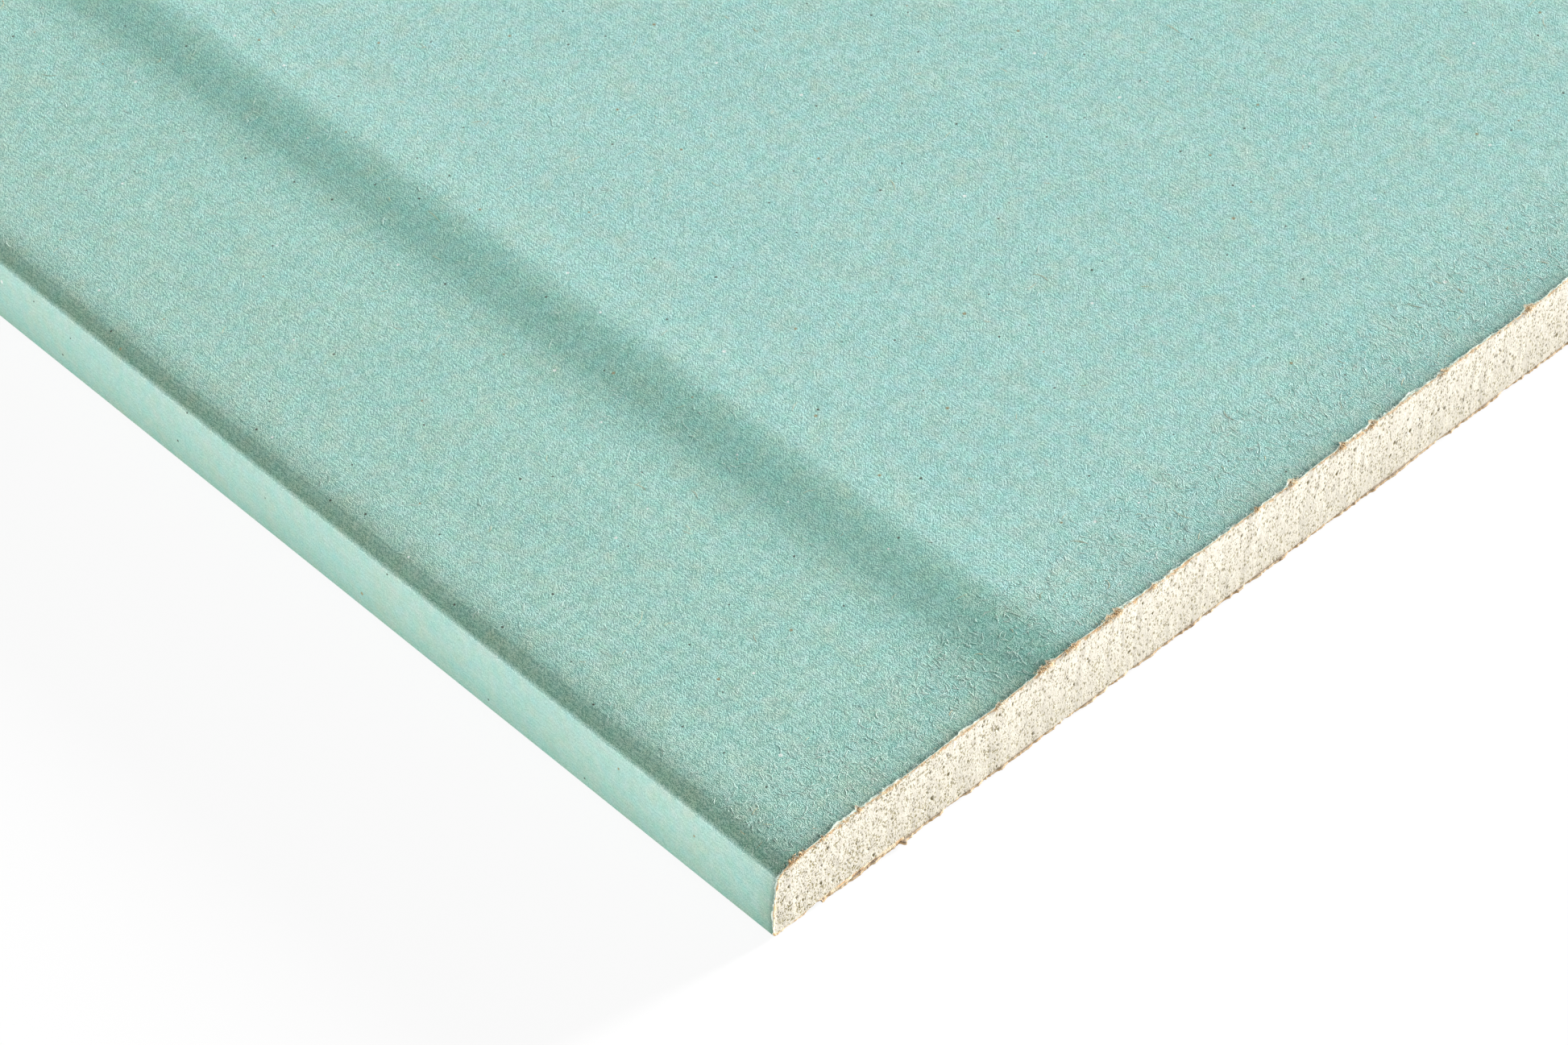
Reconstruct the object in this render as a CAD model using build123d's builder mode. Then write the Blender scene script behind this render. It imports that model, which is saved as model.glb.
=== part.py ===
from build123d import *
import os

# A full sheet of moisture-resistant drywall, lying face up. Millimetres.
# X runs along the sheet's length, Y across its width and Z through its thickness.
# The origin is the middle of the underside.

# Sheet size
length = 2400.0
width = 1200.0
thickness = 12.5

# Paper: the face paper and the back paper are the same weight
paper = 0.35

# Tapered long edge, each place measured in from the edge, each height up from the back.
# From the fold at the back the edge stands up, leans in above the knee and turns over at
# the brow. Past the shoulder a slight rise leads to the lip of the shallow recess for the
# joint tape, and a ramp climbs from the recess's foot to its crest, level with the face.
fold_radius = 0.6
knee_height = 4.6
knee_radius = 24.0
brow_inset = 1.5
brow_height = 9.75
brow_radius = 0.8
shoulder_inset = 3.2
shoulder_height = 10.95
shoulder_radius = 3.0
lip_inset = 6.5
lip_height = 11.2
lip_radius = 40.0
foot_inset = 40.6
foot_height = 11.55
foot_radius = 110.0
crest_inset = 49.4
crest_radius = 52.0

# The face paper is folded onto the back, and the back paper is lapped over the fold
flap = 22.0
bare_flap = 8.0
seam = 0.5
joggle = 2.5
joggle_radius = 1.0

edge = width / 2
joggle_start = edge - bare_flap + seam

# Each section is drawn flat, set up on one cut end and run to the other
cut_end = Plane.YZ.offset(-length / 2)

# Outline of the sheet without its back paper: half of the section, drawn from the middle
# of the back, round one long edge, to the middle of the face
half_section = [
    (0, paper),
    (joggle_start, paper),
    (joggle_start + joggle, 0),
    (edge, 0),
    (edge, knee_height),
    (edge - brow_inset, brow_height),
    (edge - shoulder_inset, shoulder_height),
    (edge - lip_inset, lip_height),
    (edge - foot_inset, foot_height),
    (edge - crest_inset, thickness),
    (0, thickness),
]
corner_radii = [
    joggle_radius,
    joggle_radius,
    fold_radius,
    knee_radius,
    brow_radius,
    shoulder_radius,
    lip_radius,
    foot_radius,
    crest_radius,
]

with BuildSketch() as wrapped_section:
    with BuildLine():
        FilletPolyline(*half_section, radius=corner_radii)
        Line(half_section[-1], half_section[0])
    make_face()
    mirror(about=Plane.YZ)

# Gap that the two folded flaps leave between them on the back
with BuildSketch() as between_flaps:
    with Locations((0, paper)):
        Rectangle(width - 2 * flap, paper, align=(Align.CENTER, Align.MIN))

# Gypsum fills the wrap, one paper's thickness inside it, and comes down flush between the flaps
with BuildSketch() as core_section:
    add(wrapped_section.sketch)
    offset(amount=-paper, kind=Kind.INTERSECTION)
    add(between_flaps.sketch)

with BuildPart() as gypsum_core:
    with BuildSketch(cut_end):
        add(core_section.sketch)
    extrude(amount=length)

# Face paper: over the face, round both long edges and folded onto the back
with BuildSketch() as face_section:
    add(wrapped_section.sketch)
    add(core_section.sketch, mode=Mode.SUBTRACT)

with BuildPart() as face_paper:
    with BuildSketch(cut_end):
        add(face_section.sketch)
    extrude(amount=length)

# Back paper: flat, over the core and over most of each flap
with BuildPart() as back_paper:
    Box(
        length,
        width - 2 * bare_flap,
        paper,
        align=(Align.CENTER, Align.CENTER, Align.MIN),
    )

gypsum_core.part.label = "gypsum_core"
face_paper.part.label = "face_paper"
back_paper.part.label = "back_paper"

os.makedirs("parts", exist_ok=True)
export_step(gypsum_core.part, "parts/gypsum_core.step")
export_step(face_paper.part, "parts/face_paper.step")
export_step(back_paper.part, "parts/back_paper.step")
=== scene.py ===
import math

import bpy
import numpy as np
from mathutils import Matrix, Vector

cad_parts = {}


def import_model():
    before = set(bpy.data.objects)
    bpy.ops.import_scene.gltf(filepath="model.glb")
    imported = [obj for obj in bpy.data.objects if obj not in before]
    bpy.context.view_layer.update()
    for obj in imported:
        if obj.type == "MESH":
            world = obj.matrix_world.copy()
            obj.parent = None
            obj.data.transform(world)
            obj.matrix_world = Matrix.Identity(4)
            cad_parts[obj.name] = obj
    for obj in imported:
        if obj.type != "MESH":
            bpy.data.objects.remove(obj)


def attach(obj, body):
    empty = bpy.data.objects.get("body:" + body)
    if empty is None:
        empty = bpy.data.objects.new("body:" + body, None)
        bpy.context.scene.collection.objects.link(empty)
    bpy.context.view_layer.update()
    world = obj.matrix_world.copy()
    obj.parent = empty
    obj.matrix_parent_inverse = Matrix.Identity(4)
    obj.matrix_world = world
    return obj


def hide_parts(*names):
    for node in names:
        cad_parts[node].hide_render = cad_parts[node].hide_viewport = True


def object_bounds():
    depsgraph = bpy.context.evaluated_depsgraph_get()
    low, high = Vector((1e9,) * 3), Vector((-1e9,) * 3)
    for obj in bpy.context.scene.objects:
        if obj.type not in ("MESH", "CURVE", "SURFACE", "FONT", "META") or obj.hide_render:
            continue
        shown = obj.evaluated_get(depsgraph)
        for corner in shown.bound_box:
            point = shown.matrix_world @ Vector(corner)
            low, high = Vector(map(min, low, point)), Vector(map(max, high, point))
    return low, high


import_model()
cad_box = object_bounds()

# All sizes are in millimetres until they reach a mesh, a lamp or the camera
MM = 0.001
LOW = np.array(cad_box[0]) / MM
HIGH = np.array(cad_box[1]) / MM
LENGTH, WIDTH, THICKNESS = HIGH - LOW

# The photographed corner, in metres, where the +X cut end meets the -Y long edge. Detail is
# finest up to these distances from that edge, on the face and on the cut end
CORNER = Vector((cad_box[1].x, cad_box[0].y, 0))
FACE_DETAIL = 205.0
CUT_DETAIL = 165.0

# Section of the tapered edge, as in the CAD. Insets are from the long edge, heights from the back
PAPER = 0.35
FLAP = 22.0
BARE_FLAP = 8.0
SEAM = 0.5
JOGGLE, JOGGLE_RADIUS = 2.5, 1.0
FOLD_RADIUS = 0.6
KNEE_HEIGHT, KNEE_RADIUS = 4.6, 24.0
BROW_INSET, BROW_HEIGHT, BROW_RADIUS = 1.5, 9.75, 0.8
SHOULDER_INSET, SHOULDER_HEIGHT, SHOULDER_RADIUS = 3.2, 10.95, 3.0
LIP_INSET, LIP_HEIGHT, LIP_RADIUS = 6.5, 11.2, 40.0
FOOT_INSET, FOOT_HEIGHT, FOOT_RADIUS = 40.6, 11.55, 110.0
CREST_INSET, CREST_RADIUS = 49.4, 52.0

# Each corner's inset, height and radius, from the flap's end to the middle of the face
SECTION = [
    (FLAP, PAPER, 0.0),
    (BARE_FLAP - SEAM, PAPER, JOGGLE_RADIUS),
    (BARE_FLAP - SEAM - JOGGLE, 0.0, JOGGLE_RADIUS),
    (0.0, 0.0, FOLD_RADIUS),
    (0.0, KNEE_HEIGHT, KNEE_RADIUS),
    (BROW_INSET, BROW_HEIGHT, BROW_RADIUS),
    (SHOULDER_INSET, SHOULDER_HEIGHT, SHOULDER_RADIUS),
    (LIP_INSET, LIP_HEIGHT, LIP_RADIUS),
    (FOOT_INSET, FOOT_HEIGHT, FOOT_RADIUS),
    (CREST_INSET, THICKNESS, CREST_RADIUS),
    (WIDTH / 2, THICKNESS, 0.0),
]

# Places along the photographed rim where the brown plies are torn open, in from the long edge,
# with the width of each tear
TEARS = [
    (4.1, 1.6), (5.6, 1.2), (8.9, 0.5), (15.0, 0.6), (38.7, 1.0), (46.3, 1.6), (47.6, 0.8),
    (51.4, 1.8), (58.2, 1.9), (59.8, 1.0), (66.0, 0.7), (85.1, 0.9), (91.9, 1.3), (101.3, 1.2),
    (107.2, 1.2), (121.0, 0.8), (138.4, 1.6),
]


# The section's line

def rounded(section, turn):
    """The points of a polyline whose inner corners are rounded, at most this turn between points."""
    least_steps = 4
    corners = [np.array(row[:2], float) for row in section]
    points = [corners[0]]
    for k, (before, corner, after) in enumerate(zip(corners, corners[1:], corners[2:])):
        radius = section[k + 1][2]
        back = (before - corner) / np.linalg.norm(before - corner)
        on = (after - corner) / np.linalg.norm(after - corner)
        half = math.acos(np.clip(back @ on, -1, 1)) / 2
        centre = corner + (back + on) / np.linalg.norm(back + on) * radius / math.sin(half)
        first = corner + back * radius / math.tan(half) - centre
        last = corner + on * radius / math.tan(half) - centre
        start = math.atan2(first[1], first[0])
        sweep = (math.atan2(last[1], last[0]) - start + math.pi) % (2 * math.pi) - math.pi
        steps = max(least_steps, math.ceil(abs(sweep) / turn))
        for angle in start + sweep * np.linspace(0, 1, steps + 1):
            points.append(centre + radius * np.array([math.cos(angle), math.sin(angle)]))
    points.append(corners[-1])
    return np.array(points)


def divided(points, fine, fine_to, coarse):
    """The same line with no step over fine up to the inset fine_to, or over coarse past it."""
    slack = 0.01
    out = [points[0]]
    for a, b in zip(points, points[1:]):
        if a[0] < fine_to < b[0]:
            cut = a + (b - a) * (fine_to - a[0]) / (b[0] - a[0])
            pieces = [(a, cut, fine), (cut, b, coarse)]
        else:
            pieces = [(a, b, fine if max(a[0], b[0]) <= fine_to + slack else coarse)]
        for p, q, step in pieces:
            count = max(1, math.ceil(np.linalg.norm(q - p) / step))
            out += [p + (q - p) * k / count for k in range(1, count + 1)]
    return np.array(out)


def section_line():
    """The wrap's outside line as (y, z), from the photographed edge's flap to the other edge's."""
    near_corners = rounded(SECTION, turn=math.radians(5))
    far_corners = rounded(SECTION, turn=math.radians(12))
    near = divided(near_corners, fine=0.17, fine_to=FACE_DETAIL, coarse=25.0)
    far = divided(far_corners, fine=4.0, fine_to=60.0, coarse=25.0)
    near = near + (LOW[1], 0)
    far = far * (-1, 1) + (HIGH[1], 0)
    return np.vstack([near, far[::-1][1:]])


def shifted(line, depth):
    """The line moved by depth to its inside with its corners kept sharp, and its inward directions."""
    least_cosine = 0.5
    step = np.diff(line, axis=0)
    step /= np.linalg.norm(step, axis=1)[:, None]
    before = np.vstack([step[:1], step])
    after = np.vstack([step, step[-1:]])
    middle = before + after
    middle /= np.linalg.norm(middle, axis=1)[:, None]
    inward = np.stack([middle[:, 1], -middle[:, 0]], 1)
    reach = depth / np.clip((middle * after).sum(1), least_cosine, 1)
    return line + inward * reach[:, None], inward


OUTER = section_line()
INNER, INWARD = shifted(OUTER, PAPER)
ALONG = np.concatenate([[0], np.cumsum(np.linalg.norm(np.diff(OUTER, axis=0), axis=1))])


def along_at(inset, height):
    """Length along the section to its point nearest this inset and height."""
    away = np.hypot(OUTER[:, 0] - LOW[1] - inset, OUTER[:, 1] - height)
    return ALONG[np.argmin(away)]


BROW_AT = along_at(BROW_INSET, BROW_HEIGHT)


# Noise for the meshes. Each octave is shorter and weaker than the one before, by these shares

SHORTER_ALONG, SHORTER_OVER, WEAKER = 0.45, 0.5, 0.6


def eased(t):
    """0 to 1 with a soft start and a soft end."""
    return t * t * (3 - 2 * t)


def wander(place, scale, rng, octaves):
    """Smooth noise along a line, about -1 to 1, with its largest waves about scale long."""
    total = np.zeros(len(place))
    size = 1.0
    for _ in range(octaves):
        knots = rng.uniform(-1, 1, int((place.max() - place.min()) / scale) + 4)
        at = (place - place.min()) / scale + 1
        k = at.astype(int)
        t = eased(at - k)
        total += size * (knots[k] * (1 - t) + knots[k + 1] * t)
        scale, size = scale * SHORTER_ALONG, size * WEAKER
    return total


def wander_2d(u, v, scale, rng, octaves):
    """Smooth noise over a plane, about -1 to 1."""
    total = np.zeros(u.shape)
    size = 1.0
    for _ in range(octaves):
        a = (u - u.min()) / scale + 1
        b = (v - v.min()) / scale + 1
        grid = rng.uniform(-1, 1, (int(a.max()) + 3, int(b.max()) + 3))
        i, j = a.astype(int), b.astype(int)
        s, t = eased(a - i), eased(b - j)
        total += size * (
            grid[i, j] * (1 - s) * (1 - t)
            + grid[i + 1, j] * s * (1 - t)
            + grid[i, j + 1] * (1 - s) * t
            + grid[i + 1, j + 1] * s * t
        )
        scale, size = scale * SHORTER_OVER, size * WEAKER
    return total


def uneven(place, rng, mean, swing, scale, octaves, least, most, extra=0.0):
    """A mean that wanders along a line by about swing, with an extra, held from least to most."""
    return np.clip(mean + swing * wander(place, scale, rng, octaves) + extra, least, most)


def mesh_object(name, points, faces, materials, uvs=None, slots=None, values=None, smooth=True):
    """An object from points in millimetres; uvs and each of the named values hold one row a point."""
    mesh = bpy.data.meshes.new(name)
    mesh.from_pydata((np.asarray(points) * MM).tolist(), [], faces)
    for material in materials:
        mesh.materials.append(material)
    if uvs is not None:
        layer = mesh.uv_layers.new(name="paper")
        corner = np.zeros(len(mesh.loops), int)
        mesh.loops.foreach_get("vertex_index", corner)
        layer.data.foreach_set("uv", np.asarray(uvs, float)[corner].ravel())
    if slots is not None:
        mesh.polygons.foreach_set("material_index", slots)
    for key, rows in (values or {}).items():
        mesh.attributes.new(key, "FLOAT", "POINT").data.foreach_set("value", rows)
    mesh.polygons.foreach_set("use_smooth", [smooth] * len(mesh.polygons))
    mesh.update()
    thing = bpy.data.objects.new(name, mesh)
    bpy.context.scene.collection.objects.link(thing)
    return thing


# Nodes. A colour is an output of another node, or red, green and blue

def make(tree, kind, inputs=None, **settings):
    """A shader node with its settings and inputs; an input is a value or another node's output."""
    made = tree.nodes.new(kind)
    for key, value in settings.items():
        setattr(made, key, value)
    for key, value in (inputs or {}).items():
        if isinstance(value, bpy.types.NodeSocket):
            tree.links.new(value, made.inputs[key])
        else:
            made.inputs[key].default_value = value
    return made


def maths(tree, operation, *values, clamp=False):
    """What this operation makes of numbers."""
    made = make(tree, "ShaderNodeMath", dict(enumerate(values)), operation=operation, use_clamp=clamp)
    return made.outputs[0]


def vector(tree, operation, *values):
    """What this operation makes of vectors: a number for LENGTH, and else a vector."""
    made = make(tree, "ShaderNodeVectorMath", dict(enumerate(values)), operation=operation)
    return made.outputs["Value" if operation == "LENGTH" else "Vector"]


def blend_colours(tree, factor, a, b, how="MIX"):
    """Colour a where the factor is 0, and its blend with b where it is 1."""
    made = make(tree, "ShaderNodeMix", data_type="RGBA", blend_type=how)
    for key, value in (("Factor_Float", factor), ("A_Color", a), ("B_Color", b)):
        socket = next(s for s in made.inputs if s.identifier == key)
        if isinstance(value, bpy.types.NodeSocket):
            tree.links.new(value, socket)
        else:
            socket.default_value = (*value, 1.0) if isinstance(value, tuple) else value
    return next(s for s in made.outputs if s.identifier == "Result_Color")


def tinted(tree, base, tint, factor=1.0):
    """The base multiplied by a tint, as far as the factor goes."""
    return blend_colours(tree, factor, base, tint, "MULTIPLY")


def between(tree, value, low, high, to_low=0.0, to_high=1.0, how="LINEAR"):
    """The value carried from low..high to to_low..to_high, held at the ends."""
    return make(tree, "ShaderNodeMapRange", {
        "Value": value, "From Min": low, "From Max": high, "To Min": to_low, "To Max": to_high,
    }, interpolation_type=how).outputs[0]


def ramp(tree, value, low, high, stops):
    """A colour that runs through the stops, (value, colour), as the value goes from low to high."""
    made = make(tree, "ShaderNodeValToRGB", {"Fac": between(tree, value, low, high)})
    elements = made.color_ramp.elements
    for k, (at, tone) in enumerate([stops[0], stops[-1]] + stops[1:-1]):
        place = (at - low) / (high - low)
        element = elements[k] if k < 2 else elements.new(place)
        element.position = place
        element.color = (*tone, 1.0)
    return made.outputs["Color"]


def attribute(tree, name):
    """The value of this name that the mesh holds at each of its points."""
    return make(tree, "ShaderNodeAttribute", attribute_name=name).outputs["Fac"]


def emptied(owner, output_kind):
    """A material's or a world's own node tree with nothing in it but an output, and that output."""
    owner.use_nodes = True
    tree = owner.node_tree
    tree.nodes.clear()
    return tree, make(tree, output_kind)


def new_material(name, roughness, specular):
    """A plain material; returns material, tree and shader."""
    material = bpy.data.materials.new(name)
    tree, output = emptied(material, "ShaderNodeOutputMaterial")
    shader = make(tree, "ShaderNodeBsdfPrincipled", {
        "Roughness": roughness,
        "Specular IOR Level": specular,
    })
    tree.links.new(shader.outputs[0], output.inputs["Surface"])
    return material, tree, shader


def raise_relief(tree, shader, height, distance):
    """Bump of this distance in millimetres for a height of 1."""
    bump = make(tree, "ShaderNodeBump", {"Strength": 1.0, "Distance": distance * MM, "Height": height})
    tree.links.new(bump.outputs[0], shader.inputs["Normal"])


# Patterns. Places and distances are in millimetres, and patterns run from 0 to 1

def noise(tree, place, scale, detail):
    """A cloudy noise's outputs, with about scale clouds a millimetre."""
    return make(tree, "ShaderNodeTexNoise", {"Vector": place, "Scale": scale, "Detail": detail},
                noise_dimensions="2D").outputs


def mottle(tree, place, size, detail=2.0):
    """Soft clouds of about this size."""
    return noise(tree, place, 1 / size, detail)["Fac"]


def cells(tree, place, scale):
    """Irregular cells, about scale of them a millimetre, and three random numbers for each."""
    cell = make(tree, "ShaderNodeTexVoronoi", {"Vector": place, "Scale": scale},
                voronoi_dimensions="2D")
    pick = make(tree, "ShaderNodeSeparateColor", {"Color": cell.outputs["Color"]})
    return cell.outputs, pick.outputs


def specks(tree, place, spacing, radius, share, softness=0.5):
    """Round spots of at most this radius, in this share of cells of this spacing."""
    cell, pick = cells(tree, place, 1 / spacing)
    half = 0.5 * radius / spacing
    size = maths(tree, "MULTIPLY_ADD", pick["Green"], half, half)
    near = maths(tree, "DIVIDE", cell["Distance"], size)
    spot = between(tree, near, 1 - softness, 1.0, 1.0, 0.0)
    chosen = maths(tree, "LESS_THAN", pick["Red"], share)
    return maths(tree, "MULTIPLY", spot, chosen)


def felt(tree, place, layers, length, width):
    """Short fibres laid over each other, each in a tone of its own, most of them one way."""
    bends_a_mm, bend = 0.6, 0.4
    fibres_a_length = 1.8
    least_turn, most_turn = -0.45, 1.05
    full_to, gone_at = 0.7, 1.05
    shift_along, shift_across = 7.3, 3.1
    wave = noise(tree, place, bends_a_mm, detail=1.0)["Color"]
    wave = vector(tree, "SUBTRACT", wave, (0.5, 0.5, 0.5))
    bent = vector(tree, "MULTIPLY_ADD", wave, (bend, bend, 0), place)
    tone = 0.5
    for i in range(layers):
        moved = vector(tree, "ADD", bent, (shift_along * i, shift_across * i, 0))
        cell, pick = cells(tree, moved, fibres_a_length / length)
        away = vector(tree, "SUBTRACT", moved, cell["Position"])
        turn = between(tree, pick["Red"], 0, 1, least_turn, most_turn)
        turned = make(tree, "ShaderNodeVectorRotate", {"Vector": away, "Angle": turn},
                      rotation_type="Z_AXIS").outputs[0]
        oval = vector(tree, "MULTIPLY", turned, (2 / length, 2 / width, 0))
        reach = vector(tree, "LENGTH", oval)
        strand = between(tree, reach, full_to, gone_at, 1.0, 0.0, "SMOOTHSTEP")
        step = maths(tree, "SUBTRACT", pick["Green"], tone)
        tone = maths(tree, "MULTIPLY_ADD", step, strand, tone)
    return tone


def paper_place(tree):
    """Where a point is on the paper unrolled: along the sheet, and along its section."""
    return make(tree, "ShaderNodeUVMap", uv_map="paper").outputs[0]


def past_the_brow(tree, place):
    """How far a point of the face paper is past the nearer brow, along the section."""
    across = make(tree, "ShaderNodeSeparateXYZ", {"Vector": place}).outputs["Y"]
    other = maths(tree, "SUBTRACT", float(ALONG[-1]), across)
    return maths(tree, "SUBTRACT", maths(tree, "MINIMUM", across, other), float(BROW_AT))


def from_the_cut(tree, place):
    """How far a point of the paper is from the nearer cut end."""
    x = make(tree, "ShaderNodeSeparateXYZ", {"Vector": place}).outputs["X"]
    return maths(tree, "SUBTRACT", float(LENGTH / 2), maths(tree, "ABSOLUTE", x))


# Materials

# Face paper's painted light and shade by the distance past the brow: round the long edge, the brow,
# the dark strip inside it, the recess, the darker ramp and the face. The edge is painted paler towards
# its top and darker at its foot, the ramp gets painted shade, just past the crest is painted a little
# paler, and the dark strip is partly scored paper and partly painted shade
WRAP_PAINTED_LIGHT_AND_SHADE = [
    (-9.5, (0.775, 0.76, 0.69)),
    (-5.0, (1.0, 0.95, 0.90)),
    (-0.1, (1.19, 1.075, 1.04)),
    (0.45, (0.60, 0.63, 0.53)),
    (1.0, (0.59, 0.61, 0.515)),
    (1.6, (0.68, 0.69, 0.595)),
    (2.4, (0.97, 0.97, 0.865)),
    (2.9, (0.82, 0.81, 0.735)),
    (4.0, (0.96, 0.93, 0.87)),
    (7.0, (0.98, 0.96, 0.92)),
    (35.0, (0.98, 0.99, 0.96)),
    (40.0, (0.92, 0.97, 0.925)),
    (42.0, (0.80, 0.88, 0.825)),
    (45.5, (0.80, 0.91, 0.855)),
    (48.0, (0.785, 0.88, 0.825)),
    (50.0, (0.86, 0.90, 0.865)),
    (51.5, (1.0, 1.0, 0.985)),
    (55.0, (1.035, 1.03, 1.02)),
    (60.0, (1.0, 1.0, 1.0)),
]

# Face paper's painted shade by the distance from a cut end: it is darker and browner close to the cut
CUT_PAINTED_SHADE = [
    (0.0, (0.50, 0.47, 0.45)),
    (0.5, (0.60, 0.57, 0.55)),
    (1.0, (0.80, 0.78, 0.75)),
    (2.0, (0.845, 0.825, 0.805)),
    (3.0, (0.905, 0.895, 0.885)),
    (6.0, (0.94, 0.94, 0.93)),
    (12.0, (0.98, 0.98, 0.98)),
    (18.0, (1.0, 1.0, 1.0)),
]

# Single flecks in the face paper: spacing, largest radius, share of cells with one, colour
FLECKS = [
    (9.0, 0.26, 0.5, (0.10, 0.12, 0.10)),
    (13.0, 0.36, 0.3, (0.34, 0.32, 0.20)),
    (15.0, 0.35, 0.4, (0.80, 0.86, 0.82)),
]


def face_paper_material():
    """Green felted paper: rough on the face and pressed smooth round the long edges, with painted light
    there that makes each edge paler towards its top, and painted shade on the brow's strip and the ramp.
    """
    grain_weight, strand_weight, contrast, swell_weight = 2.8, 1.3, 0.69, 3.0
    material, tree, shader = new_material("face_paper", roughness=0.85, specular=0.0)
    place = paper_place(tree)
    beyond = past_the_brow(tree, place)
    cut = from_the_cut(tree, place)

    # The felt's height, about -1 to 1, which is also its tone
    strands = felt(tree, place, layers=8, length=1.1, width=0.16)
    grain = maths(tree, "SUBTRACT", mottle(tree, place, 0.15, detail=0.5), 0.5)
    strands = maths(tree, "MULTIPLY_ADD", strands, strand_weight, -0.5 * strand_weight)
    spread = maths(tree, "MULTIPLY_ADD", grain, grain_weight, strands)
    open_felt = between(tree, beyond, -0.6, 0.5, to_low=0.3, to_high=1.0)
    raised = between(tree, cut, 0.0, 30.0, to_low=1.25, to_high=1.0)
    spread = maths(tree, "MULTIPLY", spread, maths(tree, "MULTIPLY", open_felt, raised))
    tone = maths(tree, "MULTIPLY_ADD", spread, contrast, 0.5, clamp=True)
    base = blend_colours(tree, tone, (0.21, 0.423, 0.384), (0.59, 0.877, 0.808))

    # Uneven dye, in wide clouds, in warm patches and from one fibre to the next
    cloud = between(tree, mottle(tree, place, 14.0, detail=3.0), 0.35, 0.65)
    base = tinted(tree, base, (0.96, 0.99, 1.0), cloud)
    warm = between(tree, mottle(tree, place, 6.0), 0.5, 0.72)
    base = tinted(tree, base, (1.05, 0.98, 0.95), warm)
    hue_swing, hue_from = (0.38, 0.0, 0.16), (0.81, 1.0, 0.92)
    hue = noise(tree, place, scale=0.5, detail=4.0)["Color"]
    base = tinted(tree, base, vector(tree, "MULTIPLY_ADD", hue, hue_swing, hue_from))

    # Painted light and shade round the long edge, on the brow's strip and along the ramp
    base = tinted(tree, base, ramp(tree, beyond, -12.0, 60.0, WRAP_PAINTED_LIGHT_AND_SHADE))
    # Painted shade close to each cut end
    base = tinted(tree, base, ramp(tree, cut, 0.0, 20.0, CUT_PAINTED_SHADE))
    for spacing, radius, share, fleck in FLECKS:
        base = blend_colours(tree, specks(tree, place, spacing, radius, share), base, fleck)
    tree.links.new(base, shader.inputs["Base Color"])
    swell = mottle(tree, place, 9.0, detail=1.0)
    relief = maths(tree, "MULTIPLY_ADD", swell, swell_weight, spread)
    raise_relief(tree, shader, relief, distance=0.017)
    return material


def back_paper_material():
    """Plain grey-brown liner."""
    material, tree, shader = new_material("back_paper", roughness=0.75, specular=0.3)
    place = paper_place(tree)
    strands = felt(tree, place, layers=5, length=2.4, width=0.22)
    base = blend_colours(tree, strands, (0.27, 0.20, 0.135), (0.46, 0.365, 0.26))
    base = tinted(tree, base, (0.90, 0.93, 0.98), mottle(tree, place, 22.0, detail=3.0))
    fleck = specks(tree, place, spacing=5.0, radius=0.4, share=0.5)
    base = blend_colours(tree, fleck, base, (0.11, 0.09, 0.07))
    tree.links.new(base, shader.inputs["Base Color"])
    raise_relief(tree, shader, strands, distance=0.03)
    return material


def torn_plies_material(name, pale, tan, dark, knots):
    """The paper's rim, blotched from pale to tan, dark at tears and in this share of its knots."""
    tear_weight = 0.7
    material, tree, shader = new_material(name, roughness=0.8, specular=0.3)
    place = paper_place(tree)
    patch = between(tree, mottle(tree, place, 0.9, detail=3.0), 0.42, 0.62)
    base = blend_colours(tree, patch, pale, tan)
    tear = maths(tree, "MULTIPLY", attribute(tree, "torn"), tear_weight)
    base = blend_colours(tree, tear, base, dark)
    knot = specks(tree, place, spacing=1.1, radius=0.30, share=knots, softness=0.7)
    base = blend_colours(tree, knot, base, dark)
    tree.links.new(base, shader.inputs["Base Color"])
    raise_relief(tree, shader, mottle(tree, place, 0.2), distance=0.03)
    return material


def gypsum_pores(tree, place, along_cut):
    """Pores too fine for the mesh, painted dark as their shade and a brown tint: round ones, and ragged
    ones in crowds, most near the corner.
    """
    crowd_weight, disc_depth = 0.4, 0.85
    edge = float(LOW[1])
    open_grain = between(tree, mottle(tree, place, 3.0), 0.35, 0.65, to_low=0.5, to_high=1.0)
    deeper = between(tree, along_cut, edge, edge + 60.0, to_low=1.1, to_high=0.75)
    open_grain = maths(tree, "MULTIPLY", open_grain, deeper)
    more = between(tree, along_cut, edge, edge + 50.0, to_low=0.027, to_high=0.0)
    crowd = maths(tree, "MULTIPLY_ADD", mottle(tree, place, 1.0), crowd_weight, more)
    ragged = between(tree, maths(tree, "ADD", crowd, mottle(tree, place, 0.26)), 0.765, 0.865)
    ragged = maths(tree, "MULTIPLY", ragged, open_grain)
    disc = specks(tree, place, spacing=0.7, radius=0.26, share=0.6, softness=0.7)
    return maths(tree, "MAXIMUM", maths(tree, "MULTIPLY", disc, disc_depth), ragged)


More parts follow.
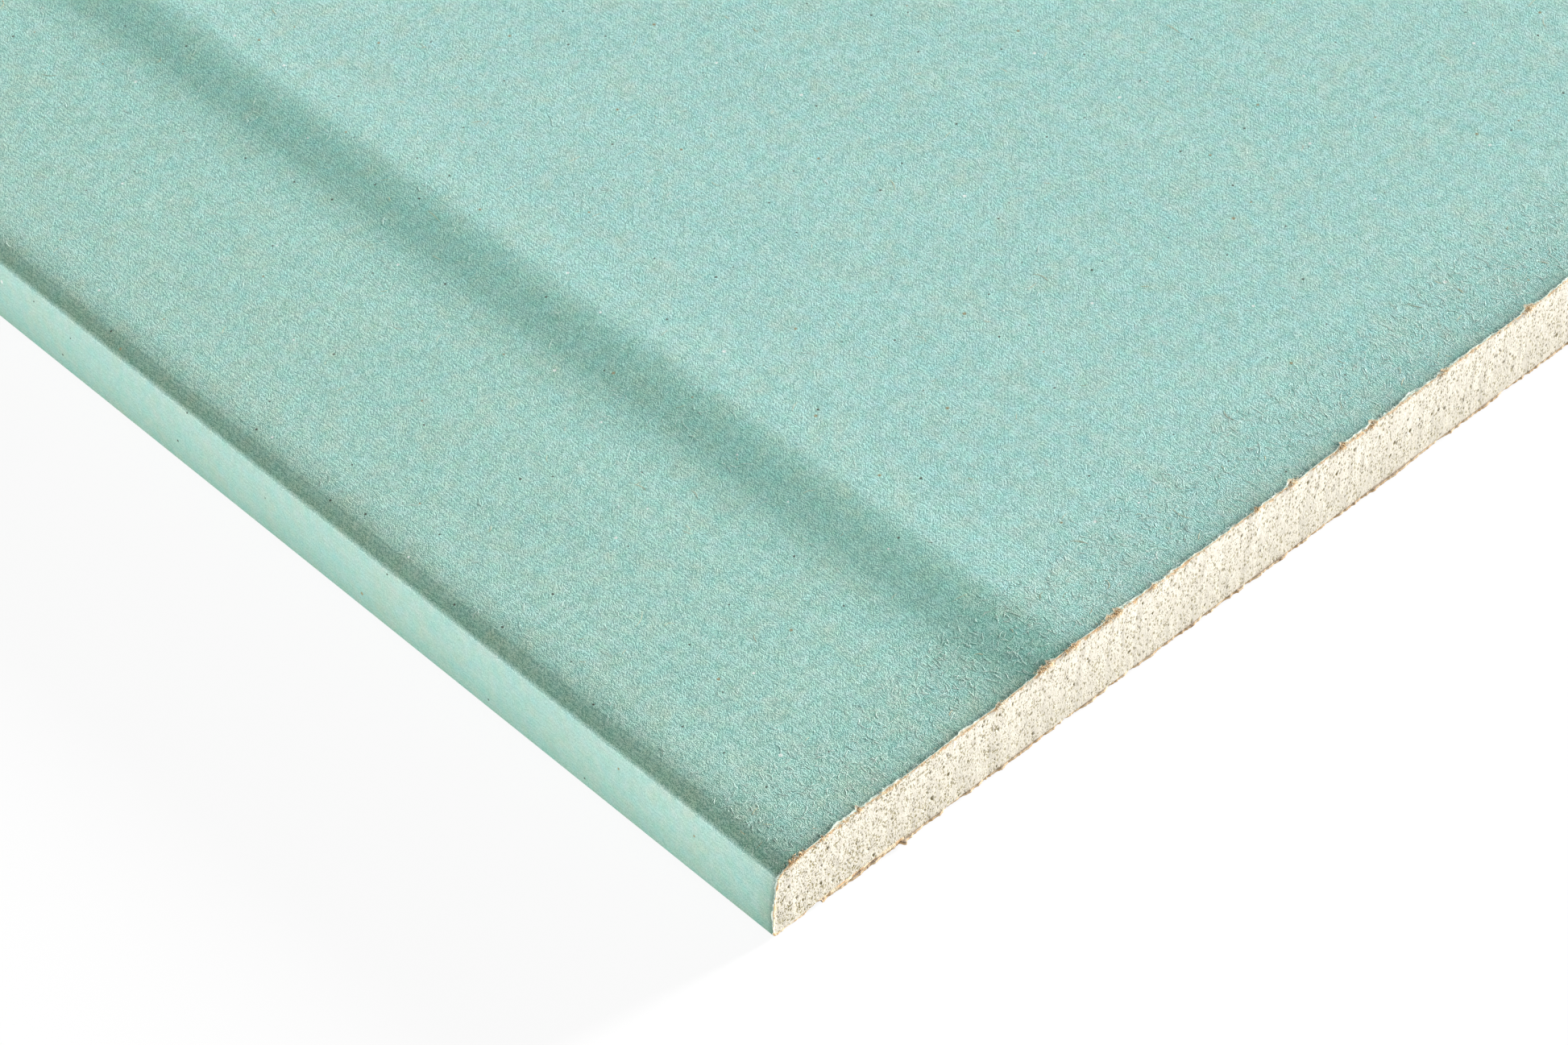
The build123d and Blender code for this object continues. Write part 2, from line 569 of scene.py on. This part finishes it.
def gypsum_material():
    """Cream-white gypsum, with painted shade in its pits and pores. The mesh says how deep a point is in
    a pit, and how far from the paper.
    """
    drawn_up, stain_waver = 0.7, 2.2
    material, tree, shader = new_material("gypsum", roughness=0.9, specular=0.2)
    where = make(tree, "ShaderNodeTexCoord").outputs["Object"]
    parts = make(tree, "ShaderNodeSeparateXYZ", {"Vector": where}).outputs
    along_cut = maths(tree, "MULTIPLY", parts["Y"], 1 / MM)
    height = maths(tree, "MULTIPLY", parts["Z"], 1 / MM)
    upright = maths(tree, "MULTIPLY", parts["Z"], drawn_up / MM)
    place = make(tree, "ShaderNodeCombineXYZ", {"X": along_cut, "Y": upright}).outputs[0]
    cloud = between(tree, mottle(tree, place, 0.9, detail=3.0), 0.35, 0.65)
    base = blend_colours(tree, cloud, (0.95, 0.90, 0.78), (0.87, 0.815, 0.70))

    # Patches of tan stain within about half a millimetre of the face paper
    waver = mottle(tree, place, 0.8, detail=3.0)
    from_paper = maths(tree, "MULTIPLY_ADD", waver, -stain_waver, attribute(tree, "rim"))
    stain = between(tree, from_paper, -1.25, -0.85, 0.9, 0.0)
    base = blend_colours(tree, stain, base, (0.80, 0.52, 0.27))

    # The cut greys more and more towards its foot
    up_from_foot = between(tree, height, 0.0, 12.0)
    base = tinted(tree, base, blend_colours(tree, up_from_foot, (0.80, 0.80, 0.79), (1.03, 1.03, 1.03)))

    pores = gypsum_pores(tree, place, along_cut)
    # Painted shade, dark olive-brown, in the pits and the pores, partly their own brown tint
    dark = maths(tree, "ADD", pores, attribute(tree, "shade"), clamp=True)
    tone = between(tree, mottle(tree, place, 0.9), 0.4, 0.6)
    pore_shade = blend_colours(tree, tone, (0.42, 0.365, 0.20), (0.24, 0.20, 0.08))
    base = blend_colours(tree, dark, base, pore_shade)
    tree.links.new(base, shader.inputs["Base Color"])
    relief = maths(tree, "MULTIPLY_ADD", pores, -1.0, mottle(tree, place, 0.3))
    raise_relief(tree, shader, relief, distance=0.02)
    return material


def plain_fibre_material(name, pale, dark):
    """Half of the fibres are pale, and the rest run from pale to dark."""
    material, tree, shader = new_material(name, roughness=0.7, specular=0.4)
    pick = make(tree, "ShaderNodeNewGeometry").outputs["Random Per Island"]
    base = blend_colours(tree, between(tree, pick, 0.5, 1.0), pale, dark)
    tree.links.new(base, shader.inputs["Base Color"])
    return material


FACE = face_paper_material()
BACK = back_paper_material()
TOP_PLY = torn_plies_material(
    "top_ply", pale=(0.80, 0.88, 0.78), tan=(0.62, 0.72, 0.62), dark=(0.55, 0.42, 0.25), knots=0.25)
PLIES = torn_plies_material(
    "torn_plies", pale=(0.88, 0.73, 0.51), tan=(0.72, 0.47, 0.25), dark=(0.25, 0.12, 0.04), knots=0.5)
GYPSUM = gypsum_material()
BACK_PLIES = torn_plies_material(
    "back_plies", pale=(0.74, 0.57, 0.36), tan=(0.58, 0.39, 0.20), dark=(0.20, 0.11, 0.05), knots=0.6)
PALE_FIBRE = plain_fibre_material("pale_fibre", pale=(0.86, 0.97, 0.90), dark=(0.52, 0.74, 0.68))
KRAFT_FIBRE = plain_fibre_material("kraft_fibre", pale=(0.90, 0.68, 0.40), dark=(0.44, 0.25, 0.10))


# Paper: strips of quads between rows of points. Each row runs across the sheet at one distance
# from a cut end. Rows come in pairs, the outside's and then the inside's

NEAR_STEPS = [0, 0.15, 0.3, 0.5, 0.75, 1.05, 1.4, 1.9, 2.6, 3.6, 5.5, 9, 18, 40, 90, 200, 450, 800]
FAR_STEPS = [0, 0.8, 3, 10, 60, 400, 900]
BACK_NEAR_STEPS = (0, 0.3, 0.8, 2, 10, 100, 600)
BACK_FAR_STEPS = (0, 3, 100, 600)


def stations(near_steps, far_steps):
    """Each row's nearer end and its distance from that end, from the near end to the far one."""
    return [("near", s) for s in near_steps] + [("far", s) for s in far_steps[::-1]]


def strip_faces(first, second, count):
    """Quads between two rows of points that start at these indices."""
    a = np.arange(count - 1)
    return np.stack([first + a, first + a + 1, second + a + 1, second + a], 1)


def side_faces(top, bottom, count):
    """The quads that close both sides of the paper between this pair of rows and the next."""
    quads = []
    for j, flip in ((0, False), (count - 1, True)):
        quad = [top + j, bottom + j, bottom + 2 * count + j, top + 2 * count + j]
        quads.append(quad[::-1] if flip else quad)
    return np.array(quads)


def tears(inset):
    """0 to 1 across the rim: 1 in the middle of each place where it is torn open."""
    half_share = 0.45
    total = np.zeros(len(inset))
    for place, wide in TEARS:
        total = np.maximum(total, np.exp(-(((inset - place) / (wide * half_share)) ** 4)))
    return total


def face_paper():
    """A skin that follows the section, with ragged rims of two plies that curl up a little."""
    curl_reach, curl_power, ragged_reach = 0.9, 1.3, 1.5
    tear_depth, tear_thin = 0.75, 0.3
    top_share, folded_share = 0.38, 0.10
    top_rim, under_rim = 0.45, 0.55
    rng = np.random.default_rng(5)
    count = len(ALONG)
    inset = OUTER[:, 0] - LOW[1]
    torn = tears(inset) * (OUTER[:, 1] > BROW_HEIGHT)
    curl = uneven(ALONG, rng, mean=0.12, swing=0.10, scale=5.0, octaves=6, least=0.0, most=0.28)
    shreds = uneven(ALONG, rng, mean=0.5, swing=0.5, scale=0.5, octaves=2, least=0, most=1)

    # How far the top ply and the paper's underside are torn back from the cut plane
    ragged = {
        "near": uneven(ALONG, rng, mean=0.14, swing=0.28, scale=2.6, octaves=6, least=0.0, most=1.0,
                       extra=tear_depth * torn * shreds),
        "far": uneven(ALONG, rng, mean=0.30, swing=0.22, scale=2.2, octaves=4, least=0.05, most=1.1),
    }
    under = {
        "near": uneven(ALONG, rng, mean=0.04, swing=0.06, scale=1.1, octaves=4, least=0.0, most=0.2),
        "far": uneven(ALONG, rng, mean=0.10, swing=0.10, scale=2.0, octaves=4, least=0.0, most=0.35),
    }

    # The top ply's share of the thickness is less on the back and at the tears
    usual = np.where(OUTER[:, 1] > 1.0, top_share, folded_share)
    ply_depth = PAPER * uneven(ALONG, rng, mean=usual, swing=0.2, scale=0.9, octaves=2,
                               least=0.05, most=0.8, extra=-tear_thin * torn)

    # Only what faces up curls
    upward = -INWARD * (INWARD[:, 1:] < -0.2)

    def row(end, step, depth, back):
        """Points at this step from an end and this depth in the paper, back from the cut plane."""
        lift = curl * math.exp(-((step / curl_reach) ** curl_power))
        x = HIGH[0] - step - back if end == "near" else LOW[0] + step + back
        across = OUTER + INWARD * np.broadcast_to(depth, count)[:, None] + upward * lift[:, None]
        if np.ndim(depth) == 0 and depth == PAPER:
            across = INNER + upward * lift[:, None]
        return np.column_stack([x, across]), np.column_stack([x, ALONG])

    places = stations(NEAR_STEPS, FAR_STEPS)
    rows = []
    for end, step in places:
        fade = math.exp(-step / ragged_reach)
        rows.append(row(end, step, 0.0, ragged[end] * fade))
        rows.append(row(end, step, PAPER, under[end] * fade))
    for end in ("near", "far"):
        rows.append(row(end, 0, ply_depth, top_rim * ragged[end] + under_rim * under[end]))
    total = len(places)
    middle = {"near": 2 * total * count, "far": (2 * total + 1) * count}

    skin, inside, sides = [], [], []
    for k in range(total - 1):
        top, bottom = 2 * k * count, (2 * k + 1) * count
        skin.append(strip_faces(top, top + 2 * count, count))
        inside.append(strip_faces(bottom + 2 * count, bottom, count))
        sides.append(side_faces(top, bottom, count))
    last = 2 * (total - 1) * count
    top_ply = [strip_faces(middle["near"], 0, count), strip_faces(last, middle["far"], count)]
    plies = [strip_faces(count, middle["near"], count), strip_faces(middle["far"], last + count, count)]
    plies += inside

    # A triangle closes each corner of the rims. It is a quad with one point twice until below
    near_corner = np.array([0, middle["near"], count])
    far_corner = np.array([last, last + count, middle["far"]])
    for j, flip in ((0, False), (count - 1, True)):
        for corner in (near_corner + j, far_corner + j):
            turned = corner[::-1] if flip else corner
            sides.append(np.append(turned, turned[0])[None])
    groups = [np.vstack(skin + sides), np.vstack(top_ply), np.vstack(plies)]
    slots = np.repeat([0, 1, 2], [len(g) for g in groups])
    faces = [list(dict.fromkeys(f)) for f in np.vstack(groups).tolist()]
    points = np.vstack([r[0] for r in rows])
    uvs = np.vstack([r[1] for r in rows])
    values = {"torn": np.tile(torn, len(rows))}
    return mesh_object("face_paper_skin", points, faces, [FACE, TOP_PLY, PLIES], uvs, slots, values)


def back_paper():
    """The back liner, flat, with wavy torn ends and a notch where the face paper's flap ends."""
    fine_step, coarse_columns = 0.2, 160
    notch_depth, notch_half, notch_shift = 0.42, 0.36, 0.4
    rng = np.random.default_rng(17)
    y = np.concatenate([
        np.arange(LOW[1] + BARE_FLAP, LOW[1] + CUT_DETAIL, fine_step),
        np.linspace(LOW[1] + CUT_DETAIL, HIGH[1] - BARE_FLAP, coarse_columns),
    ])
    count = len(y)
    places = stations(BACK_NEAR_STEPS, BACK_FAR_STEPS)
    tear = {
        end: uneven(y, rng, mean=0.0, swing=0.20, scale=1.8, octaves=5, least=-0.35, most=0.35)
        for end in ("near", "far")
    }
    tear["near"] -= notch_depth * np.exp(-(((y - LOW[1] - FLAP + notch_shift) / notch_half) ** 4))
    points, uvs, faces = [], [], []
    for end, step in places:
        back = step + tear[end] * math.exp(-step)
        x = HIGH[0] - back if end == "near" else LOW[0] + back
        for z in (PAPER, 0.0):
            points.append(np.column_stack([x, y, np.full(count, z)]))
            uvs.append(np.column_stack([x, y]))
    for k in range(len(places) - 1):
        top, bottom = 2 * k * count, (2 * k + 1) * count
        faces.append(strip_faces(top, top + 2 * count, count))
        faces.append(strip_faces(bottom + 2 * count, bottom, count))
        faces.append(side_faces(top, bottom, count))
    skin = sum(len(f) for f in faces)
    last = 2 * (len(places) - 1) * count
    faces.append(strip_faces(count, 0, count))
    faces.append(strip_faces(last, last + count, count))
    faces = np.vstack(faces)
    slots = np.zeros(len(faces), int)
    slots[skin:] = 1
    return mesh_object("back_paper_sheet", np.vstack(points), faces.tolist(), [BACK, BACK_PLIES],
                       np.vstack(uvs), slots)


# Gypsum core: a block that fills the wrap, with its photographed cut end really pitted

def core_outline():
    """The core's section as its bottom, top, left and right lines of (y, z)."""
    half = len(INNER) // 2
    fold = int(np.argmin(np.hypot(INNER[:half, 0] - LOW[1], INNER[:half, 1])))
    brow = int(np.argmin(np.abs(ALONG - BROW_AT)))
    far_fold = half + int(np.argmin(np.hypot(INNER[half:, 0] - HIGH[1], INNER[half:, 1])))
    far_brow = int(np.argmin(np.abs(ALONG[-1] - ALONG - BROW_AT)))
    step_down = np.array([[LOW[1] + FLAP, PAPER], [HIGH[1] - FLAP, PAPER]])
    bottom = np.vstack([INNER[:fold + 1][::-1], step_down, INNER[far_fold:][::-1]])
    return bottom, INNER[brow:far_brow + 1], INNER[fold:brow + 1], INNER[far_brow:far_fold + 1][::-1]


def resampled(line, marks):
    """Points of the line at these shares of its length, 0 to 1."""
    run = np.concatenate([[0], np.cumsum(np.linalg.norm(np.diff(line, axis=0), axis=1))])
    at = np.asarray(marks) * run[-1]
    return np.column_stack([np.interp(at, run, line[:, 0]), np.interp(at, run, line[:, 1])])


def pitted(y, z, rng):
    """Depth of the pits at each point of a grid over the cut end."""
    count = 1100
    usual_radius, radius_spread, least_radius, most_radius = 0.095, 0.36, 0.08, 0.32
    tall, deep, lowest, reach = 1.4, 0.8, 0.4, 1.0
    smear_height, smear_swing, smear_wave, smear_from, smear_share = 4.2, 1.5, 14.0, 35, 0.6
    depth = np.zeros(y.shape)
    columns = y[:, y.shape[1] // 2]
    middles = np.column_stack([
        rng.uniform(0, CUT_DETAIL, count) + LOW[1],
        rng.uniform(lowest, THICKNESS, count),
    ])
    radii = np.clip(
        rng.lognormal(math.log(usual_radius), radius_spread, count), least_radius, most_radius)
    smeared = wander(middles[:, 0], smear_wave, rng, 2)
    for (cy, cz), radius, luck, smear in zip(middles, radii, rng.uniform(0, 1, count), smeared):
        # The saw has smeared the lower part of the cut, so most pits there are filled
        low = cz < smear_height + smear_swing * smear
        if low and cy > LOW[1] + smear_from and luck < smear_share:
            continue
        i = np.searchsorted(columns, cy - radius - reach)
        j = np.searchsorted(columns, cy + radius + reach) + 1
        away = np.hypot(y[i:j] - cy, (z[i:j] - cz) / tall) / radius
        bowl = np.clip(1 - away**2, 0, 1) * radius * deep
        depth[i:j] = np.maximum(depth[i:j], bowl)
    return depth


def gypsum_core():
    """The block: a fine grid over the photographed cut end, plain sides and a plain far end."""
    fine_step, coarse_columns, grid_rows = 0.165, 110, 70
    full_shade, side_weight, far_from_paper = 0.16, 2.5, 9.0
    behind_paper, most_rough = 0.10, 0.35
    lump_height, lump_size, lump_squash = 0.018, 1.6, 0.6
    wave_height, wave_size = 0.02, 3.0
    rng = np.random.default_rng(11)
    bottom, top, left, right = core_outline()
    fine = np.linspace(0, CUT_DETAIL, int(CUT_DETAIL / fine_step))
    coarse = np.linspace(CUT_DETAIL, WIDTH, coarse_columns)[1:]
    share = np.concatenate([fine, coarse]) / WIDTH
    rise = np.linspace(0, 1, grid_rows)
    b, t = resampled(bottom, share), resampled(top, share)
    lo, ro = resampled(left, rise), resampled(right, rise)
    u, v = share[:, None, None], rise[None, :, None]
    grid = (
        (1 - v) * b[:, None] + v * t[:, None] + (1 - u) * lo[None] + u * ro[None]
        - (1 - u) * (1 - v) * b[0] - u * (1 - v) * b[-1] - (1 - u) * v * t[0] - u * v * t[-1]
    )
    y, z = grid[..., 0], grid[..., 1]
    pits = pitted(y, z, rng)
    pits[[0, -1], :] = 0
    pits[:, [0, -1]] = 0
    lumps = lump_height * wander_2d(y, z * lump_squash, lump_size, rng, 4)
    waves = wave_height * wander(y[:, 0], wave_size, rng, 3)[:, None]
    rough = np.clip(behind_paper + lumps + waves, 0, most_rough)
    near = np.dstack([HIGH[0] - pits - rough, y, z]).reshape(-1, 3)
    shade = np.clip(pits / full_shade, 0, 1).ravel()
    rows, cols = y.shape
    index = np.arange(rows * cols).reshape(rows, cols)
    quads = np.stack([index[:-1, :-1], index[1:, :-1], index[1:, 1:], index[:-1, 1:]], -1)
    faces = [quads.reshape(-1, 4)]

    # The sides run back from the cut end's border to the other end, which is plain
    border = np.concatenate([index[:, 0], index[-1, 1:], index[-2::-1, -1], index[0, -2:0:-1]])
    points = [near]
    before = border
    start = rows * cols
    for x in (HIGH[0] - 3, 0.0, LOW[0] + behind_paper):
        level = near[border].copy()
        level[:, 0] = x
        points.append(level)
        after = start + np.arange(len(border))
        faces.append(np.stack([before, after, np.roll(after, -1), np.roll(before, -1)], 1))
        before = after
        start += len(border)
    low_side = before[:rows]
    high_side = before[rows + cols - 2:2 * rows + cols - 2][::-1]
    faces.append(np.stack([low_side[:-1], high_side[:-1], high_side[1:], low_side[1:]], 1))
    right_cap = before[rows - 1:rows + cols - 1]
    left_cap = np.append(before[2 * rows + cols - 3:], before[0])
    faces = np.vstack(faces).tolist() + [right_cap.tolist(), left_cap.tolist()]
    plain = start - rows * cols
    rim = np.minimum(t[:, 1][:, None] - z, side_weight * (y - lo[:, 0][None])).ravel()
    values = {
        "shade": np.concatenate([shade, np.zeros(plain)]),
        "rim": np.concatenate([rim, np.full(plain, far_from_paper)]),
    }
    return mesh_object("gypsum_core_block", np.vstack(points), faces, [GYPSUM], values=values,
                       smooth=False)


# Fibres

def tubes(name, paths, radii, material):
    """Thin closed three-sided tubes along many paths with the same number of points each."""
    sides = 3
    count, steps, _ = paths.shape
    along = np.gradient(paths, axis=1)
    along /= np.linalg.norm(along, axis=2)[..., None]
    nearly_up = np.broadcast_to(np.array([0.03, 0.05, 1.0]), along.shape)
    side = np.cross(along, nearly_up)
    side /= np.linalg.norm(side, axis=2)[..., None]
    lift = np.cross(side, along)
    rings = []
    for k in range(sides):
        angle = 2 * math.pi * k / sides
        rings.append(paths + radii[..., None] * (side * math.cos(angle) + lift * math.sin(angle)))
    points = np.stack(rings, 2).reshape(-1, 3)
    faces = []
    base = (np.arange(count) * steps * sides)[:, None]
    for s in range(steps - 1):
        for k in range(sides):
            a, b = s * sides + k, s * sides + (k + 1) % sides
            faces += (base + np.array([a, b, b + sides, a + sides])).tolist()
    last = (steps - 1) * sides
    faces += (base + np.arange(sides)[::-1]).tolist()
    faces += (base + last + np.arange(sides)).tolist()
    return mesh_object(name, points, faces, [material])


def on_section(along):
    """The y and z of the section at these lengths along it."""
    return np.interp(along, ALONG, OUTER[:, 0]), np.interp(along, ALONG, OUTER[:, 1])


def rim_fibres(name, material, along, rng, reach, thick, lean, sunk):
    """Torn fibre ends on the near rim, at these lengths along it; lean and sunk are ranges."""
    length_spread, way_spread, back_range = 0.4, 0.9, (0.1, 0.55)
    out_share, droop, least_height, most_out, most_up = 0.7, 0.3, 0.05, 0.5, 0.3
    count = len(along)
    y, z = on_section(along)
    length = rng.lognormal(math.log(reach), length_spread, count)
    way = rng.normal(0, way_spread, count)
    steps = np.linspace(0, 1, 4)
    rise = rng.uniform(*lean, count)
    x0 = HIGH[0] - rng.uniform(*back_range, count)
    z0 = z - rng.uniform(*sunk, count)
    xs = x0[:, None] + length[:, None] * steps * np.cos(way)[:, None] * out_share
    ys = y[:, None] + length[:, None] * steps * np.sin(way)[:, None]
    zs = z0[:, None] + length[:, None] * (rise[:, None] * steps - droop * steps**2)
    xs = np.minimum(xs, HIGH[0] + most_out)
    zs = np.clip(zs, least_height, THICKNESS + most_up)
    radii = np.outer(rng.uniform(0.6, 1.2, count) * thick, [1, 0.9, 0.7, 0.35])
    return tubes(name, np.stack([xs, ys, zs], -1), radii, material)


def pale_fringe():
    """Pale fibre ends of the top ply, all along the rim."""
    count, before_brow = 2600, 0.5
    rng = np.random.default_rng(31)
    along = BROW_AT + rng.uniform(-before_brow, CUT_DETAIL, count)
    return rim_fibres("pale_rim_fibres", PALE_FIBRE, along, rng, reach=0.45, thick=0.024,
                      lean=(-0.1, 0.7), sunk=(-0.06, 0.08))


def kraft_tufts():
    """Brown fibres: a few all along the rim, and a clump at each tear."""
    singles, before_brow = 600, 0.5
    fibres_a_mm, spread, top_ply = 130, 0.30, 0.6
    rng = np.random.default_rng(37)
    clumps = [BROW_AT + rng.uniform(-before_brow, CUT_DETAIL, singles)]
    for place, wide in TEARS:
        middle = along_at(place, THICKNESS - top_ply)
        clumps.append(middle + rng.normal(0, wide * spread, int(fibres_a_mm * wide)))
    return rim_fibres("kraft_rim_fibres", KRAFT_FIBRE, np.concatenate(clumps), rng, reach=0.42,
                      thick=0.040, lean=(-0.6, 0.5), sunk=(-0.08, 0.40))


def loose_fibres(name, material, seed, tufts, wide, close, reach, thick):
    """Fibres on the face near the photographed corner: in tufts, one by one, and close to the cut."""
    tuft_size, tuft_spread = 4, 0.3
    wide_range, close_range, across_range = (0.6, 215), (0.3, 14), (1.0, FACE_DETAIL)
    length_spread, bend_spread = 0.40, 0.9
    from_rim, above_paper, arch = 0.1, 0.012, 0.02
    rng = np.random.default_rng(seed)
    in_tufts = tuft_size * tufts
    count = in_tufts + wide + close
    from_end = np.concatenate([
        np.repeat(rng.uniform(*wide_range, tufts), tuft_size),
        rng.uniform(*wide_range, wide),
        rng.uniform(*close_range, close),
    ])
    along = np.concatenate([
        np.repeat(rng.uniform(*across_range, tufts), tuft_size),
        rng.uniform(*across_range, wide + close),
    ])
    from_end[:in_tufts] += rng.normal(0, tuft_spread, in_tufts)
    along[:in_tufts] += rng.normal(0, tuft_spread, in_tufts)
    x = HIGH[0] - np.maximum(from_end, close_range[0])
    along = BROW_AT + np.maximum(along, across_range[0])
    length = rng.lognormal(math.log(reach), length_spread, count)
    heading = rng.uniform(0, 2 * math.pi, count)
    bend = rng.normal(0, bend_spread, count)
    steps = np.linspace(-0.5, 0.5, 5)
    angle = heading[:, None] + bend[:, None] * steps
    xs = x[:, None] + np.cumsum(np.cos(angle) * length[:, None] / 4, 1)
    ys, zs = on_section(along[:, None] + np.cumsum(np.sin(angle) * length[:, None] / 4, 1))
    zs = zs + above_paper + rng.uniform(0.0, arch, count)[:, None] * (1 - (2 * steps) ** 2)
    radii = np.outer(rng.uniform(0.6, 1.0, count) * thick, [0.4, 0.9, 1, 0.9, 0.4])
    xs = np.minimum(xs, HIGH[0] - from_rim)
    return tubes(name, np.stack([xs, ys, zs], -1), radii, material)


skin = face_paper()
core = gypsum_core()
back = back_paper()
fringe = pale_fringe()
tufts = kraft_tufts()
loose_pale = loose_fibres("loose_face_fibres", PALE_FIBRE, seed=23, tufts=800, wide=300, close=2900,
                          reach=0.9, thick=0.026)
loose_tan = loose_fibres("loose_tan_fibres", KRAFT_FIBRE, seed=29, tufts=0, wide=220, close=40,
                         reach=1.3, thick=0.024)

# Each piece, the node that it replaces, if any, and its material slot
for piece, node, slot in (
    (skin, "face_paper", "green_face_paper"),
    (core, "gypsum_core", "gypsum"),
    (back, "back_paper", "brown_back_paper"),
    (fringe, None, "green_face_paper"),
    (tufts, None, "brown_back_paper"),
    (loose_pale, None, "green_face_paper"),
    (loose_tan, None, "brown_back_paper"),
):
    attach(piece, "root")
    if node:
        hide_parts(node)


# Stage

def seen_directly(tree):
    """1 for what the camera sees straight, in a gloss or through something clear, and else 0."""
    rays = make(tree, "ShaderNodeLightPath").outputs
    seen = maths(tree, "MAXIMUM", rays["Is Camera Ray"], rays["Is Glossy Ray"])
    return maths(tree, "MAXIMUM", seen, rays["Is Transmission Ray"])


def white_floor():
    """A white table: it lights the sheet's sides, and the camera sees it as white with a faint shadow."""
    side = 60000.0
    drop = -0.3
    points = [(-side, -side, drop), (side, -side, drop), (side, side, drop), (-side, side, drop)]
    material = bpy.data.materials.new("floor")
    tree, output = emptied(material, "ShaderNodeOutputMaterial")

    def table(paint, glow):
        coat = make(tree, "ShaderNodeBsdfDiffuse", {"Color": (paint, paint, paint, 1)})
        light = make(tree, "ShaderNodeEmission", {"Color": (1, 1, 1, 1), "Strength": glow})
        return make(tree, "ShaderNodeAddShader", {0: coat.outputs[0], 1: light.outputs[0]}).outputs[0]

    pick = make(tree, "ShaderNodeMixShader", {
        0: seen_directly(tree), 1: table(paint=0.75, glow=0.15), 2: table(paint=0.10, glow=0.91),
    })
    tree.links.new(pick.outputs[0], output.inputs["Surface"])
    mesh_object("floor", points, [[0, 1, 2, 3]], [material])


def sun(name, azimuth, elevation, strength, softness):
    """A far lamp; azimuth runs from +X towards +Y and strength 1 renders white as white."""
    data = bpy.data.lights.new(name, "SUN")
    data.energy = strength * math.pi
    data.angle = math.radians(softness)
    lamp = bpy.data.objects.new(name, data)
    a, e = math.radians(azimuth), math.radians(elevation)
    toward = Vector((math.cos(a) * math.cos(e), math.sin(a) * math.cos(e), math.sin(e)))
    lamp.rotation_mode = "QUATERNION"
    lamp.rotation_quaternion = toward.to_track_quat("Z", "Y")
    bpy.context.scene.collection.objects.link(lamp)


def world(strength):
    """Even white light from all round, which the camera sees as white."""
    made = bpy.data.worlds.new("studio")
    bpy.context.scene.world = made
    tree, output = emptied(made, "ShaderNodeOutputWorld")
    level = maths(tree, "MULTIPLY_ADD", seen_directly(tree), 1 - strength, strength)
    glow = make(tree, "ShaderNodeBackground", {"Color": (1, 1, 1, 1), "Strength": level})
    tree.links.new(glow.outputs[0], output.inputs["Surface"])


def camera():
    """The photograph's camera, found from the sheet's straight edges."""
    data = bpy.data.cameras.new("camera")
    data.sensor_width = 36.0
    data.lens = 99.95
    data.clip_start = 0.01
    data.clip_end = 200.0
    forward = Vector((-0.5509, 0.4510, -0.7022)).normalized()
    nearly_up = Vector((-0.4891, 0.5073, 0.7095))
    right = forward.cross(nearly_up).normalized()
    up = right.cross(forward)
    turn = Matrix((right, up, -forward)).transposed()
    from_corner = Vector((266.69, -211.37, 405.97))
    made = bpy.data.objects.new("camera", data)
    made.matrix_world = Matrix.Translation(CORNER + from_corner * MM) @ turn.to_4x4()
    bpy.context.scene.collection.objects.link(made)
    bpy.context.scene.camera = made


white_floor()
world(strength=0.29)
sun("key", azimuth=80, elevation=10.6, strength=3.15, softness=10)
sun("front", azimuth=-100, elevation=9, strength=0.80, softness=30)
camera()
bpy.context.scene.view_settings.view_transform = "Standard"
